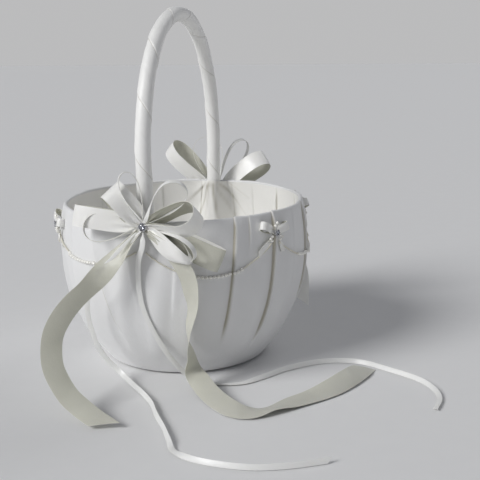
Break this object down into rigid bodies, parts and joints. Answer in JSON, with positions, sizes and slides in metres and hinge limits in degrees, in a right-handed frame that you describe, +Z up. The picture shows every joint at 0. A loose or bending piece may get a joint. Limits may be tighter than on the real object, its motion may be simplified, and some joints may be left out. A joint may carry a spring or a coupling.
{
  "type": "flower girl basket",
  "caption": "Satin covered bowl basket with a tall ribbon-wrapped arch handle, a ribbon bow at each handle foot, small jewelled bows, pearl swags and loose ribbon streamers.",
  "frame": {"origin": "centre of the flat underside that the basket stands on", "axes": "+Z up through the middle of the bowl; the arch handle lies in the YZ plane with the front bow on the -Y side; +X to the right when the front bow is seen from outside"},
  "size_m": [0.3278, 0.3738, 0.2891],
  "materials": {
    "satin": "satin",
    "ribbon": "satin",
    "padding": "matte",
    "pulp": "matte",
    "steel": "satin",
    "setting": "polished",
    "crystal": "polished",
    "pearl": "pearly"
  },
  "bodies": {
    "root": {"base_disc": "satin", "shell": "pulp", "base_board": "pulp", "floor_pad": "satin", "lining": "satin", "outer_cover": "satin", "rim_wire": "steel", "rim_binding": "satin", "handle_core": "steel", "handle_padding": "padding", "handle_wrap": "ribbon", "front_foot_bracket": "steel", "back_foot_bracket": "steel", "front_foot_rivets": "steel", "back_foot_rivets": "steel", "front_wide_loop_1": "ribbon", "front_wide_loop_2": "ribbon", "front_wide_loop_3": "ribbon", "front_wide_loop_4": "ribbon", "front_wide_loop_5": "ribbon", "front_narrow_loop_1": "ribbon", "front_narrow_loop_2": "ribbon", "front_narrow_loop_3": "ribbon", "front_narrow_loop_4": "ribbon", "front_knot": "ribbon", "front_setting": "setting", "front_stone": "crystal", "front_wide_tail_left": "ribbon", "front_wide_tail_right": "ribbon", "front_narrow_tail_left": "ribbon", "front_narrow_tail_right": "ribbon", "back_wide_loop_1": "ribbon", "back_wide_loop_2": "ribbon", "back_wide_loop_3": "ribbon", "back_wide_loop_4": "ribbon", "back_narrow_loop_1": "ribbon", "back_narrow_loop_2": "ribbon", "back_narrow_loop_3": "ribbon", "back_knot": "ribbon", "back_setting": "setting", "back_stone": "crystal", "back_wide_tail_left": "ribbon", "back_wide_tail_right": "ribbon", "back_narrow_tail_left": "ribbon", "back_narrow_tail_right": "ribbon", "side_bow_1": "ribbon", "side_bow_2": "ribbon", "side_bow_3": "ribbon", "side_bow_4": "ribbon", "side_settings": "setting", "side_stones": "crystal", "side_pearls": "pearl", "pearl_swag_1": "pearl", "pearl_swag_2": "pearl", "pearl_swag_3": "pearl", "pearl_swag_4": "pearl", "pearl_swag_5": "pearl", "pearl_swag_6": "pearl"}
  },
  "joints": []
}
